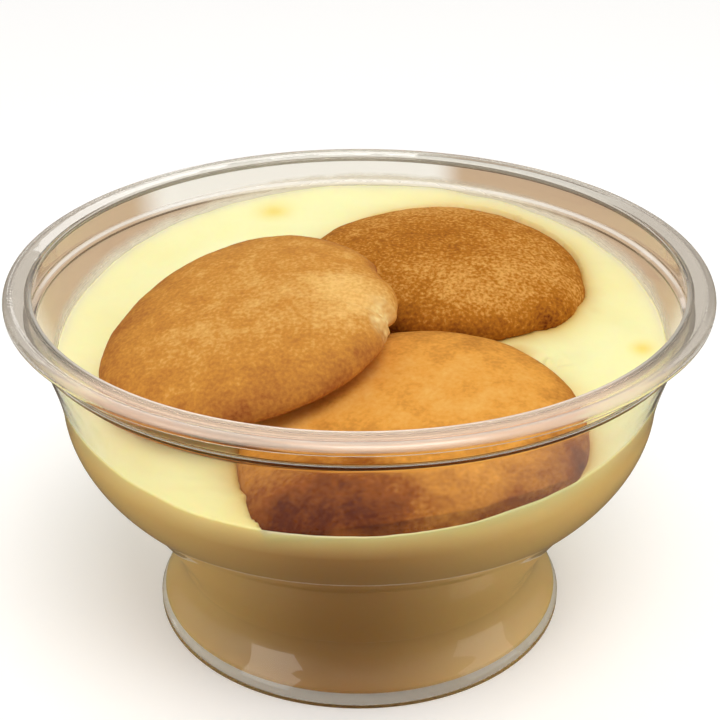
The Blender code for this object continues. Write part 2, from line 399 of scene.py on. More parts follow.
@dataclass(frozen=True)
class ClearPlastic:
    """Thermoformed PET sheet, clear and glossy, with a faint smear of pudding on its upper wall, and painted
    shade, reflections and highlights on it by place.
    """

    body: str = "FBFAF4"
    # Painted shade on the far upper wall.
    far_wall_shade: str = "C2A789"
    smear: str = "E8E2D2"
    front_flange: str = "F4E6D8"
    # Painted shade on the flange's sides, painted light on its back.
    shaded_side_flange: str = "C6BEB2"
    lit_back_flange: str = "DCD8CE"
    # Painted reflection on the far collar.
    painted_collar_reflection: str = "ECE8DE"
    # Painted shade along the front ledge.
    front_ledge_shade: str = "6E5028"
    # Painted highlight on the far ledge.
    back_ledge_highlight: str = "F4F2EE"
    lamp_tint: str = "FCFBF8"
    full_shine: str = "FFFFFF"
    wall_shine: str = "484848"
    wall_clearness: float = 1.0
    band_clearness: float = 0.88
    # The bead's milky white is partly the rolled rim's haze and partly a painted highlight.
    bead_clearness: float = 0.68
    edge_clearness: float = 0.3
    smear_clearness: float = 0.45
    # The far ledge's painted highlight lets less light through.
    ledge_clearness: float = 0.5
    ior: float = 1.57
    roughness: float = 0.02
    bead_roughness: float = 0.12
    smear_roughness: float = 0.3
    collar_left: float = 9.0 * MM
    line_rise_back: float = 0.131
    line_rise_right: float = 0.02
    line_waver: float = 0.9 * MM
    waver_width: float = 3.0
    waver_detail: float = 2.0
    waves: Unevenness = Unevenness(width=7.0, height=0.15, detail=1.0, strength=0.25)
    ripple: Unevenness = Unevenness(width=0.7, height=0.08, detail=1.0, strength=0.3)

    def measured(
        self, tree: bpy.types.NodeTree, place: bpy.types.NodeSocket
    ) -> dict[Measure, bpy.types.NodeSocket]:
        """Measure a point of the plastic in every way that the patches need.

        Args:
            tree: The material's node tree.
            place: The point.

        Returns:
            The length in metres along each measure.
        """
        axes = add_node(tree, "ShaderNodeSeparateXYZ", {0: place}).outputs
        across, depth, height = axes["X"], axes["Y"], axes["Z"]
        waver = add_node(
            tree,
            "ShaderNodeTexNoise",
            {"Vector": place, "Scale": per_metre(self.waver_width), "Detail": self.waver_detail},
        ).outputs["Fac"]
        lengths = {Measure.DEPTH: depth, Measure.HEIGHT: height}
        # None stands for the result of the sum before it.
        for measure, sums in (
            (Measure.BESIDE, (("ADD", across, self.collar_left), ("ABSOLUTE", None))),
            (
                Measure.OVER_LINE,
                (
                    ("MULTIPLY_ADD", depth, -self.line_rise_back, height),
                    ("MULTIPLY_ADD", across, -self.line_rise_right, None),
                    ("MULTIPLY_ADD", waver, -self.line_waver, None),
                ),
            ),
            (
                Measure.RADIUS,
                (("MULTIPLY", depth, depth), ("MULTIPLY_ADD", across, across, None), ("SQRT", None)),
            ),
        ):
            for operation, *values in sums:
                given = [lengths[measure] if value is None else value for value in values]
                node = add_node(tree, "ShaderNodeMath", dict(enumerate(given)), operation=operation)
                lengths[measure] = node.outputs[0]
        return lengths

    def shares(
        self, tree: bpy.types.NodeTree, lengths: dict[Measure, bpy.types.NodeSocket]
    ) -> dict[str, bpy.types.NodeSocket]:
        """Work out how much of each patch covers a point.

        Args:
            tree: The material's node tree.
            lengths: The point's length along each measure.

        Returns:
            The share of each patch, from 0 to 1.
        """
        shares: dict[str, bpy.types.NodeSocket] = {}
        for name, patch in PATCHES.items():
            factors = [
                add_node(
                    tree,
                    "ShaderNodeMapRange",
                    {0: lengths[measure], 1: start * MM, 2: whole * MM, 3: 0.0, 4: 1.0},
                    interpolation_type="SMOOTHSTEP",
                ).outputs[0]
                for measure, start, whole in patch.limits
            ]
            factors += [shares[other] for other in patch.inside]
            for other in patch.outside:
                rest = add_node(tree, "ShaderNodeMath", {0: 1.0, 1: shares[other]}, operation="SUBTRACT")
                factors.append(rest.outputs[0])
            share = factors[0]
            for factor in factors[1:]:
                both = add_node(tree, "ShaderNodeMath", {0: share, 1: factor}, operation="MULTIPLY")
                share = both.outputs[0]
            shares[name] = share
        return shares

    def material(self) -> bpy.types.Material:
        """Build the plastic's shader, which lets lamps through.

        Returns:
            The new material.
        """
        # PET, thermoformed: mirror-smooth and clear, with slow waves from the mould.
        material, tree, shader = new_material("clear_pet_thermoformed")
        place = add_node(tree, "ShaderNodeTexCoord").outputs["Object"]
        shares = self.shares(tree, self.measured(tree, place))
        rim = add_node(
            tree, "ShaderNodeMath", {0: shares["flange"], 1: shares["inner_edge"]}, operation="MAXIMUM"
        ).outputs[0]
        flange = layered(
            tree,
            linear(self.front_flange),
            (
                (shares["flange_side_shade"], linear(self.shaded_side_flange)),
                (shares["flange_back_light"], linear(self.lit_back_flange)),
            ),
        )
        # Painted shade and light by place: the tan far wall, the darker flange sides, the lighter flange
        # back, the white back collar, the white back ledge and the dark front ledge line.
        colour = layered(
            tree,
            linear(self.body),
            (
                (shares["far_wall_shade"], linear(self.far_wall_shade)),
                (shares["painted_collar_reflection"], linear(self.painted_collar_reflection)),
                (shares["smear"], linear(self.smear)),
                (rim, flange),
                (shares["front_ledge_shade"], linear(self.front_ledge_shade)),
                (shares["back_ledge_highlight"], linear(self.back_ledge_highlight)),
            ),
        )
        # The wall beside the wafers shines less, because its inside mirrored the floor over them.
        shine = layered(tree, linear(self.full_shine), ((shares["dull_wall"], linear(self.wall_shine)),))
        normal = uneven(tree, place, ((self.waves, 1.0), (self.ripple, shares["bead"])))
        tree.links.new(colour, shader.inputs["Base Color"])
        tree.links.new(normal, shader.inputs["Normal"])
        tree.links.new(shine, shader.inputs["Specular Tint"])
        for name, wall, parts in (
            (
                "Transmission Weight",
                self.wall_clearness,
                (
                    (shares["flange"], self.band_clearness),
                    (shares["bead"], self.bead_clearness),
                    (shares["inner_edge"], self.edge_clearness),
                    (shares["smear"], self.smear_clearness),
                    (shares["back_ledge_highlight"], self.ledge_clearness),
                ),
            ),
            (
                "Roughness",
                self.roughness,
                ((shares["bead"], self.bead_roughness), (shares["smear"], self.smear_roughness)),
            ),
        ):
            value: object = wall
            for share, goal in parts:
                value = add_node(tree, "ShaderNodeMapRange", {0: share, 3: value, 4: goal}).outputs[0]
            tree.links.new(value, shader.inputs[name])
        shader.inputs["IOR"].default_value = self.ior
        lamps_pass = add_node(tree, "ShaderNodeBsdfTransparent", {"Color": linear(self.lamp_tint)})
        is_lamp = add_node(tree, "ShaderNodeLightPath").outputs["Is Shadow Ray"]
        mixed = add_node(
            tree,
            "ShaderNodeMixShader",
            {0: is_lamp, 1: shader.outputs[0], 2: lamps_pass.outputs[0]},
        )
        tree.links.new(mixed.outputs[0], tree.nodes["Material Output"].inputs["Surface"])
        return material


@dataclass(frozen=True)
class PuddingCream:
    """Cooked vanilla and banana pudding, spooned in and settled: soft, satin and a little see-through."""

    cream: str = "FBF7BB"
    deep: str = "F4DE76"
    # side is painted shade on the pudding's side seen through the wall; shade is painted shadow under the
    # front wafer.
    side: str = "E8C880"
    shade: str = "A57C44"
    # stain is the wafers' soaking into the pudding and also painted contact shadow beside them.
    stain_and_shade: str = "D8AA50"
    smear: str = "DDD6C2"
    cloud_width: float = 11.0
    cloud_detail: float = 3.0
    cloud_limits: Pair = (0.42, 0.72)
    cloudiness: float = 0.18
    grain: Unevenness = Unevenness(width=1.1, height=0.15, detail=2.0, strength=0.12)
    swell: Unevenness = Unevenness(width=4.5, height=0.5, detail=1.0, strength=0.3)
    roughness: float = 0.34
    ior: float = 1.38
    soft_share: float = 0.5
    soft_reach: float = 2.2 * MM
    soft_colours: tuple[float, float, float] = (1.0, 0.6, 0.25)

    def material(self) -> bpy.types.Material:
        """Build the pudding's shader, which reads what is painted on its points.

        Returns:
            The new material.
        """
        # Starch-set milk cream: light goes a few millimetres in, so its shadows are soft and warm.
        material, tree, shader = new_material("vanilla_pudding_cream")
        place = add_node(tree, "ShaderNodeTexCoord").outputs["Object"]
        clouds = add_node(
            tree,
            "ShaderNodeTexNoise",
            {"Vector": place, "Scale": per_metre(self.cloud_width), "Detail": self.cloud_detail},
        ).outputs["Fac"]
        clear, cloudy = self.cloud_limits
        cloud_share = add_node(
            tree, "ShaderNodeMapRange", {0: clouds, 1: clear, 2: cloudy, 3: 0.0, 4: self.cloudiness}
        ).outputs[0]
        painted = {
            name: add_node(tree, "ShaderNodeAttribute", attribute_name=name).outputs["Fac"]
            for name in ("banana", "soak_and_shade", "side", "shade", "smear")
        }
        deeper = add_node(
            tree, "ShaderNodeMath", {0: cloud_share, 1: painted["banana"]}, operation="MAXIMUM"
        ).outputs[0]
        colour = layered(
            tree,
            linear(self.cream),
            (
                (deeper, linear(self.deep)),
                (painted["soak_and_shade"], linear(self.stain_and_shade)),
                (painted["side"], linear(self.side)),
                (painted["shade"], linear(self.shade)),
                (painted["smear"], linear(self.smear)),
            ),
        )
        normal = uneven(tree, place, ((self.grain, 1.0), (self.swell, 1.0)))
        tree.links.new(colour, shader.inputs["Base Color"])
        tree.links.new(normal, shader.inputs["Normal"])
        shader.inputs["Roughness"].default_value = self.roughness
        shader.inputs["IOR"].default_value = self.ior
        shader.inputs["Subsurface Weight"].default_value = self.soft_share
        shader.inputs["Subsurface Radius"].default_value = self.soft_colours
        shader.inputs["Subsurface Scale"].default_value = self.soft_reach
        return material


@dataclass(frozen=True)
class WaferCrust:
    """Baked vanilla biscuit crust: matt, finely grained, browner at its edge."""

    name: str
    top: str
    brown: str
    pale: str
    grain: float
    grain_mm: float
    burnt: str = "561F04"
    crumb: str = "F2D694"
    top_from: float = 0.35
    brown_from: float = 0.75
    grain_detail: float = 2.5
    speck_limits: Pair = (0.50, 0.70)
    pit_limits: Pair = (0.50, 0.30)
    pit_share: float = 0.9
    blotch_width: float = 3.6
    blotch_detail: float = 3.0
    blotch_limits: Pair = (0.3, 0.7)
    blotchiness: float = 0.11
    bump_strength: float = 0.45
    bump_height: float = 0.12 * MM
    roughness: float = 0.72
    shine: float = 0.05
    soft_share: float = 0.12
    soft_reach: float = 0.7 * MM
    soft_colours: tuple[float, float, float] = (1.0, 0.45, 0.15)

    def material(self) -> bpy.types.Material:
        """Build the crust's shader, which reads the browning, with painted shade and light, that is painted
        on its points.

        Returns:
            The new material.
        """
        # Baked flour, sugar and egg: a matt crust with pores and pale sugar specks.
        material, tree, shader = new_material(self.name)
        place = add_node(tree, "ShaderNodeTexCoord").outputs["Object"]
        shade_and_brownness = add_node(tree, "ShaderNodeAttribute", attribute_name="browning_and_shade").outputs["Fac"]
        blotches, specks = (
            add_node(
                tree, "ShaderNodeTexNoise", {"Vector": place, "Scale": per_metre(width), "Detail": detail}
            ).outputs["Fac"]
            for width, detail in (
                (self.blotch_width, self.blotch_detail),
                (self.grain_mm, self.grain_detail),
            )
        )
        for pattern, (low, high), start, goal in (
            (blotches, self.blotch_limits, -self.blotchiness, self.blotchiness),
            (specks, self.speck_limits, 0.0, -self.grain),
            (specks, self.pit_limits, 0.0, self.pit_share * self.grain),
        ):
            change = add_node(
                tree, "ShaderNodeMapRange", {0: pattern, 1: low, 2: high, 3: start, 4: goal}
            ).outputs[0]
            shade_and_brownness = add_node(
                tree, "ShaderNodeMath", {0: shade_and_brownness, 1: change}, operation="ADD", use_clamp=True
            ).outputs[0]
        crust = set_ramp(
            add_node(tree, "ShaderNodeValToRGB", {0: shade_and_brownness}),
            [
                (0.0, linear(self.pale)),
                (self.top_from, linear(self.top)),
                (self.brown_from, linear(self.brown)),
                (1.0, linear(self.burnt)),
            ],
        )
        crumb = add_node(tree, "ShaderNodeAttribute", attribute_name="crumb").outputs["Fac"]
        colour = layered(tree, crust, ((crumb, linear(self.crumb)),))
        bump = add_node(
            tree,
            "ShaderNodeBump",
            {"Height": specks, "Strength": self.bump_strength, "Distance": self.bump_height},
        )
        tree.links.new(colour, shader.inputs["Base Color"])
        tree.links.new(bump.outputs[0], shader.inputs["Normal"])
        shader.inputs["Roughness"].default_value = self.roughness
        shader.inputs["Specular IOR Level"].default_value = self.shine
        shader.inputs["Subsurface Weight"].default_value = self.soft_share
        shader.inputs["Subsurface Radius"].default_value = self.soft_colours
        shader.inputs["Subsurface Scale"].default_value = self.soft_reach
        return material


@dataclass(frozen=True)
class CupLine:
    """The clear cup's turned line, with heights above its foot.

    Handles are given as outwards and upwards from each end of a stretch.
    """

    height: float = 52.0 * MM
    wall: float = 0.4 * MM
    foot: Pair = (29.5 * MM, 1.4 * MM)
    neck: Pair = (26.0 * MM, 8.0 * MM)
    throat_end: Pair = (34.5 * MM, 22.6 * MM)
    bowl_foot: Pair = (34.9 * MM, 23.1 * MM)
    belly: Pair = (41.3 * MM, 34.8 * MM)
    ledge: Pair = (44.4 * MM, 46.8 * MM)
    collar: Pair = (45.4 * MM, 47.27 * MM)
    flare_handles: tuple[Pair, Pair] = ((-0.9 * MM, 2.4 * MM), (0.0, -3.2 * MM))
    throat_handles: tuple[Pair, Pair] = ((0.3 * MM, 2.8 * MM), (-4.1 * MM, -5.5 * MM))
    belly_handles: tuple[Pair, Pair] = ((3.6 * MM, 3.0 * MM), (-0.1 * MM, -4.2 * MM))
    shoulder_handles: tuple[Pair, Pair] = ((0.4 * MM, 4.0 * MM), (-1.2 * MM, -4.0 * MM))
    rim_radius: float = 48.0 * MM
    rim_inner: float = 44.05 * MM
    bead_start: float = 46.6 * MM
    lip_drop: float = 1.4 * MM
    recess: float = 1.6 * MM
    foot_ring: float = 1.6 * MM
    recess_slope: float = 1.5 * MM
    floor_bend: float = 0.3 * MM
    floor_inset: float = 0.5 * MM
    points: tuple[int, int, int, int] = (14, 22, 22, 20)

    def outside(self) -> Line:
        """Draw the outer line.

        Returns:
            The line from the foot's edge up to the ledge.
        """
        flare, throat, bowl, shoulder = self.points
        line = curve_run(self.foot, self.neck, self.flare_handles, flare)
        line += curve_run(self.neck, self.throat_end, self.throat_handles, throat)[1:]
        line += curve_run(self.bowl_foot, self.belly, self.belly_handles, bowl)
        line += curve_run(self.belly, self.ledge, self.shoulder_handles, shoulder)[1:]
        return line

    def inside(self, distance: float) -> Line:
        """Return the line that runs a distance inside the outer one."""
        return offset_inwards(self.outside(), distance)

    def floored(self, line: Line, floor: float) -> Line:
        """Return a line from the axis over a flat floor and up the given wall."""
        wall = [point for point in line if point[1] > floor + self.floor_bend]
        return [(0.0, floor), (wall[0][0] - self.floor_inset, floor)] + wall


@functools.cache
def inner_line(distance: float) -> Line:
    """Return the cup's line a distance inside its outer one."""
    return CupLine().inside(distance)


def inner_radius(height: float, distance: float) -> float:
    """Find the radius of the cup at a height.

    Args:
        height: The height above the foot.
        distance: How far inside the outer line to measure.

    Returns:
        The radius there.
    """
    line = inner_line(distance)
    for lower, upper in zip(line, line[1:]):
        if lower[1] <= height <= upper[1]:
            share = (height - lower[1]) / (upper[1] - lower[1])
            return lower[0] + share * (upper[0] - lower[0])
    return line[-1][0]


@dataclass
class ClearCup:
    """The footed cup: foot ring, neck, bowl, ledge, collar and rolled rim."""

    line: CupLine = field(default_factory=CupLine)
    steps: int = 192
    corner_radius: float = 0.4 * MM

    def rim_run(self) -> Line:
        """Draw the rim, corner by corner, with the corners' small steps in millimetres.

        Returns:
            The line from the ledge over the rolled rim and back down inside.
        """
        line = self.line
        top, wall, rim = line.height, line.wall, line.rim_radius
        lip_end = top - line.lip_drop
        corners = [
            line.ledge,
            line.collar,
            (line.rim_inner + wall + 0.1 * MM, top - wall - 0.6 * MM),
            (line.rim_inner + 2.0 * wall, top - wall - 0.1 * MM),
            (line.bead_start, top - wall - 0.15 * MM),
            (line.bead_start + 0.4 * MM, top - wall),
            (rim - wall, top - wall - 0.4 * MM),
            (rim - wall, lip_end),
            (rim - 0.05 * MM, lip_end),
            (rim, top - 0.8 * MM),
            (rim - 0.3 * MM, top - 0.2 * MM),
            (rim - 0.9 * MM, top),
            (line.bead_start, top - 0.15 * MM),
            (line.rim_inner + 0.5 * MM, top - 0.1 * MM),
            (line.rim_inner + 0.1 * MM, top - 0.15 * MM),
            (line.rim_inner, top - 0.5 * MM),
            (line.collar[0] - wall, line.collar[1] + wall),
            (line.ledge[0] - wall, line.ledge[1] + wall),
            line.inside(wall)[-1],
        ]
        return rounded(corners, self.corner_radius)

    def profile(self) -> Line:
        """Draw the cup's whole section.

        Returns:
            The line from the axis below to the axis above.
        """
        line = self.line
        ring_inner = line.foot[0] - line.foot_ring
        underside = [
            (0.0, line.recess),
            (ring_inner - line.recess_slope, line.recess),
            (ring_inner, 0.0),
            (line.foot[0] - 0.3 * MM, 0.0),
            (line.foot[0], 0.4 * MM),
            (line.foot[0], 0.9 * MM),
        ]
        inside = line.floored(line.inside(line.wall), line.recess + line.wall)
        run = rounded(underside, self.corner_radius) + line.outside()[:-1] + self.rim_run()
        return run + inside[:-1][::-1]

    def build(self, material: bpy.types.Material) -> bpy.types.Object:
        """Build the cup and let it stand for its solid.

        Args:
            material: The plastic.

        Returns:
            The cup.
        """
        cup = object_from("clear_cup", lathe(self.profile(), self.steps), material)
        dress(cup, "cup")
        return cup


def dress(piece: bpy.types.Object, node: str | None = None) -> None:
    """Tell the frame what a piece rides on and stands for.

    Args:
        piece: The finished piece.
        node: The solid that it replaces, if any.
    """
    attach(piece, "root")
    if node is not None:
        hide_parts(node)
    log.info("%s: %d faces", piece.name, len(piece.data.polygons))


def near_spots(place: Vector, spots: Iterable[tuple[float, float, float, float]]) -> float:
    """Add up round, soft-edged spots at a place seen from above.

    Args:
        place: The point.
        spots: The x, y and reach of each spot in millimetres, with its strength.

    Returns:
        The total strength at the point.
    """
    total = 0.0
    for x, y, reach, amount in spots:
        away = math.hypot(place.x / MM - x, place.y / MM - y) / reach
        total += amount * math.exp(-away * away)
    return total


def waves_at(spot: Vector, waves: Iterable[Pair]) -> float:
    """Add up waves of noise at a spot, each given by its height and width, all in millimetres."""
    return sum(height * noise.noise(spot / width) for height, width in waves)


@dataclass
class VanillaWafer:
    """One domed wafer: flat base, rounded side, domed top and an uneven outline."""

    place: Place
    centre: tuple[float, float, float]
    radius: float
    lean: Pair
    oval: Pair
    three_sided: Pair
    chips: tuple[tuple[float, float, float], ...]
    bulge: tuple[float, float, float]
    tones_and_shade: tuple[tuple[float, float, float, float], ...]
    crumbs: tuple[tuple[float, float, float, float], ...]
    finish: WaferCrust
    seed: float
    thickness: float = 8.8 * MM
    widest: float = 3.0 * MM
    undercut: float = 1.25
    dome_power: float = 2.3
    base_power: float = 2.2
    steps: int = 300
    dome_rings: int = 74
    base_rings: int = 12
    base_shares: tuple[float, ...] = (0.0, 0.2, 0.4, 0.55)
    chip_power: int = 4
    bulge_power: int = 2
    relief_waves: tuple[Pair, ...] = ((0.22, 9.0), (0.09, 3.0), (0.035, 1.1))
    ragged_waves: tuple[Pair, ...] = ((0.35, 1.3), (0.15, 0.6))
    wall_gap: float = 0.05 * MM
    top_bake: float = 0.30
    edge_bake: float = 0.30
    edge_power: int = 6
    base_bake: float = 0.12
    crumb_cover: float = 0.75
    crumb_width: float = 1.0 / 1.5

    def profile(self) -> Line:
        """Draw the half section.

        Returns:
            The line from the middle of the base to the middle of the top.
        """
        top_span = self.thickness - self.widest
        low_span = self.widest * self.undercut
        points = [(self.radius * share, -self.widest) for share in self.base_shares]
        for ring in range(self.base_rings):
            height = -self.widest * (1.0 - ring / self.base_rings)
            width = (1.0 - (-height / low_span) ** self.base_power) ** (1.0 / self.base_power)
            points.append((self.radius * width, height))
        for ring in range(self.dome_rings + 1):
            turn = math.pi / 2.0 * ring / self.dome_rings
            share = math.sin(turn)
            width = max(0.0, 1.0 - share ** self.dome_power) ** (1.0 / self.dome_power)
            points.append((self.radius * width, top_span * share))
        return points

    def outline_factor(self, angle: float) -> float:
        """Find how far the edge reaches at an angle.

        Args:
            angle: The angle about the wafer's own axis.

        Returns:
            The reach as a share of the radius, 1 for a circle.
        """
        factor = 1.0
        for lobes, (share, direction) in ((2, self.oval), (3, self.three_sided)):
            factor += share * math.cos(lobes * (angle - math.radians(direction)))
        for power, sign, spots in (
            (self.chip_power, -1.0, self.chips),
            (self.bulge_power, 1.0, (self.bulge,)),
        ):
            for direction, half_width, share in spots:
                away = (math.degrees(angle) - direction + 180.0) % 360.0 - 180.0
                factor += sign * share * max(0.0, 1.0 - (away / half_width) ** power)
        return factor

    def relief(self, place: Vector) -> float:
        """Return how far the crust stands out at a place, in metres."""
        return waves_at(place / MM + Vector((self.seed, 0.0, 0.0)), self.relief_waves) * MM

    def raggedness(self, place: Vector) -> float:
        """Return how far a broken spot stands out at a place, in metres."""
        return waves_at(place / MM + Vector((0.0, self.seed, 0.0)), self.ragged_waves) * MM

    def press(self, place: Vector) -> Vector:
        """Keep a point clear of the cup's wall.

        Args:
            place: The point, which is moved.

        Returns:
            The point, pushed inwards where it would meet the wall.
        """
        limit = inner_radius(place.z, CupLine.wall + self.wall_gap)
        radius = math.hypot(place.x, place.y)
        if radius > limit:
            place.x *= limit / radius
            place.y *= limit / radius
        return place

    def shaped(self) -> bmesh.types.BMesh:
        """Shape the wafer where it lies, and paint its browning, its painted shade and light, and its crumbs
        on each point.

        Returns:
            The closed mesh.
        """
        work = lathe(self.profile(), self.steps)
        browning_and_shade = work.verts.layers.float.new("browning_and_shade")
        crumb = work.verts.layers.float.new("crumb")
        up = Vector((-self.lean[0], -self.lean[1], 1.0)).normalized()
        right = (Vector((1.0, 0.0, 0.0)) - up * up.x).normalized()
        placement = Matrix((right, up.cross(right), up)).transposed()
        centre = Vector(self.centre)
        work.normal_update()
        for vertex in work.verts:
            local = vertex.co.copy()
            factor = self.outline_factor(math.atan2(local.y, local.x))
            edge = math.hypot(local.x, local.y) / self.radius
            local = Vector((local.x * factor, local.y * factor, local.z))
            place = centre + placement @ local
            crumbly = near_spots(place, self.crumbs)
            local += vertex.normal * (self.relief(local) + crumbly * self.raggedness(local))
            # Tones are browner or paler spots; on the front wafer they are mostly painted shade and painted
            # light.
            tone = near_spots(place, self.tones_and_shade)
            low = max(0.0, -local.z / self.widest)
            browning = self.top_bake + self.edge_bake * edge ** self.edge_power
            vertex[browning_and_shade] = browning + self.base_bake * low + tone
            cover = self.crumb_cover + noise.noise(place / MM / self.crumb_width)
            vertex[crumb] = min(1.0, crumbly * cover)
            vertex.co = self.press(centre + placement @ local)
        bmesh.ops.recalc_face_normals(work, faces=work.faces)
        return work

    def build(self) -> BVHTree:
        """Build the wafer and let it stand for its solid.

        Returns:
            The wafer's search tree, for the pudding's bed.
        """
        work = self.shaped()
        tree = BVHTree.FromBMesh(work)
        wafer = object_from("vanilla_" + self.place.value, work, self.finish.material())
        dress(wafer, self.place.value)
        return tree


@dataclass
class PuddingFill:
    """The pudding: a slope, high at the back, with its wavy top and wafer beds."""

    level: float = 40.7 * MM
    rise_back: float = 0.131
    rise_right: float = 0.02
    climb: float = 0.5 * MM
    climb_width: float = 5.0 * MM
    wave: float = 0.35 * MM
    wave_length: float = 17.0 * MM
    wave_offset: float = 0.6
    dip_depth: float = 1.8 * MM
    dip_centre: Pair = (-12.0 * MM, -23.0 * MM)
    dip_reach: float = 11.0 * MM
    into_wall: float = 0.15 * MM
    edge_start: float = 32.0 * MM
    edge_rings: int = 10
    ring_step: float = 0.5 * MM
    top_rings: int = 96
    steps: int = 384
    belly: float = 41.3 * MM
    lit_depth: float = 4.0 * MM
    shade_middle: float = -2.0 * MM
    shade_reach: float = 19.0 * MM
    shade_depth: float = 20.0 * MM
    calming: float = 0.8
    fine_waves: tuple[Pair, ...] = ((0.16, 5.0), (0.05, 1.8))
    lumps: tuple[float, float, float, float] = (25.7, -5.9, 2.4, 0.9)
    lump_width: float = 1.1
    edge_passes: int = 4
    ray_start: float = 0.1
    under_wafer: float = 0.4
    soak_reach: float = 1.5 * MM
    cling: float = 0.15 * MM
    cling_width: float = 1.1 * MM
    # The side's painted shade drops towards the back and grows below the pudding's line.
    shade_drop_from: float = -5.0 * MM
    shade_drop_run: float = 25.0 * MM
    back_shade_drop: float = 0.55
    line_shade: float = 0.3
    side_shade_power: float = 0.8
    shade_power: float = 0.6
    smear_from: float = -12.0 * MM
    smear_run: float = 16.0 * MM
    smear_width: float = 0.9 * MM
    # The first is a painted shadow between the back and front wafers, the second a stain by the back wafer's
    # right edge.
    stains_and_shadows: tuple[tuple[float, float, float, float], ...] = (
        (21.6, -3.6, 2.6, 0.8),
        (32.6, 7.5, 2.2, 0.4),
    )
    bananas: tuple[tuple[float, float, float], ...] = (
        (39.0 * MM, -3.3 * MM, 1.6 * MM),
        (-13.4 * MM, 36.6 * MM, 2.6 * MM),
    )

    def wall_radius(self, height: float) -> float:
        """Return the pudding's outer radius, which reaches just into the wall."""
        return inner_radius(height, CupLine.wall - self.into_wall)

    def surface(self, x: float, y: float) -> float:
        """Find the height of the top, before the wafers press it.

        Args:
            x: The place to the right.
            y: The place towards the back.

        Returns:
            The height.
        """
        height = self.level + self.rise_back * y + self.rise_right * x
        from_wall = self.wall_radius(height) - math.hypot(x, y)
        height += self.climb * math.exp(-max(from_wall, 0.0) / self.climb_width)
        turn = math.tau / self.wave_length
        calm = 1.0 - self.calming * math.exp(-max(from_wall, 0.0) / self.climb_width)
        height += calm * self.wave * math.sin(turn * x) * math.cos(turn * y + self.wave_offset)
        reach = math.hypot(x - self.dip_centre[0], y - self.dip_centre[1]) / self.dip_reach
        height -= self.dip_depth * math.exp(-reach * reach)
        spot = Vector((x, y, 0.0)) / MM
        height += MM * waves_at(spot, self.fine_waves)
        height += MM * noise.noise(spot / self.lump_width) * near_spots(spot * MM, [self.lumps])
        return height

    def edge(self, angle: float) -> Pair:
        """Find where the top meets the wall.

        Args:
            angle: The angle about the upright axis.

        Returns:
            The radius and the height.
        """
        radius = self.belly
        height = self.level
        for _ in range(self.edge_passes):
            height = self.surface(radius * math.cos(angle), radius * math.sin(angle))
            radius = self.wall_radius(height)
        return radius, height

    def profile(self) -> Line:
        """Draw the section to turn, with its top rings still flat.

        Returns:
            The line from the axis below to the axis above.
        """
        line = CupLine()
        skin = line.wall - self.into_wall
        wall = [point for point in line.inside(skin) if point[1] < self.edge_start - MM]
        points = line.floored(wall, line.recess + line.wall - self.into_wall)
        points.append((self.wall_radius(self.edge_start), self.edge_start - 0.1 * MM))
        for ring in range(1, self.edge_rings + 1):
            points.append((self.belly, self.edge_start + ring * self.ring_step))
        for ring in reversed(range(self.top_rings)):
            points.append((self.belly * ring / self.top_rings, line.height))
        return points

    def bed(self, place: Vector, wafers: list[BVHTree]) -> tuple[float, float]:
        """Fit one point of the top to the wafers.

        Args:
            place: The point on the free surface.
            wafers: The wafers' search trees.

        Returns:
            The height to use, and how soaked the pudding is there, which also gives its painted contact
            shadow.
        """
        height = place.z
        soak_and_shade = 0.0
        for tree in wafers:
            above, below = (
                tree.ray_cast(Vector((place.x, place.y, side * self.ray_start)), Vector((0.0, 0.0, -side)))[0]
                for side in (1.0, -1.0)
            )
            if above is not None and below is not None and height > below.z:
                height = min(height, below.z + self.under_wafer * (above.z - below.z))
                soak_and_shade = 1.0
                continue
            near = tree.find_nearest(place)[0]
            away = (near - place).length
            # Soaking near a wafer, which also paints its contact shadow.
            soak_and_shade = max(soak_and_shade, math.exp(-away / self.soak_reach))
            height += self.cling * math.exp(-((away / self.cling_width) ** 2))
        return height, soak_and_shade

    def shape_top(self, work: bmesh.types.BMesh, wafers: list[BVHTree]) -> None:
        """Bend the flat top rings to the sloping, wavy surface, and paint its points, with painted shade on
        its side and painted shadow under the front wafer among them.

        Args:
            work: The turned mesh.
            wafers: The wafers' search trees.
        """
        soak_and_shade, smear, banana, side, shade = (
            work.verts.layers.float.new(name) for name in ("soak_and_shade", "smear", "banana", "side", "shade")
        )
        top = CupLine.height
        edges: dict[float, Pair] = {}
        for vertex in work.verts:
            # Painted shadow under the front wafer, and painted shade on the side that is weaker towards the
            # back.
            shaded = math.exp(-(((vertex.co.x - self.shade_middle) / self.shade_reach) ** 2))
            shaded *= clamped(-vertex.co.y / self.shade_depth)
            side_shading = 1.0 - self.back_shade_drop * clamped((vertex.co.y - self.shade_drop_from) / self.shade_drop_run)
            if vertex.co.z < self.edge_start:
                vertex[side] = side_shading
                vertex[shade] = shaded
                continue
            angle = math.atan2(vertex.co.y, vertex.co.x)
            key = round(angle, 5)
            if key not in edges:
                edges[key] = self.edge(angle)
            edge, height = edges[key]
            if vertex.co.z < top - WELD:
                rise = (vertex.co.z - self.edge_start) / (self.edge_rings * self.ring_step)
                height = self.edge_start + rise * (height - self.edge_start)
                radius = self.wall_radius(height)
                deep = clamped((edges[key][1] - height) / self.lit_depth)
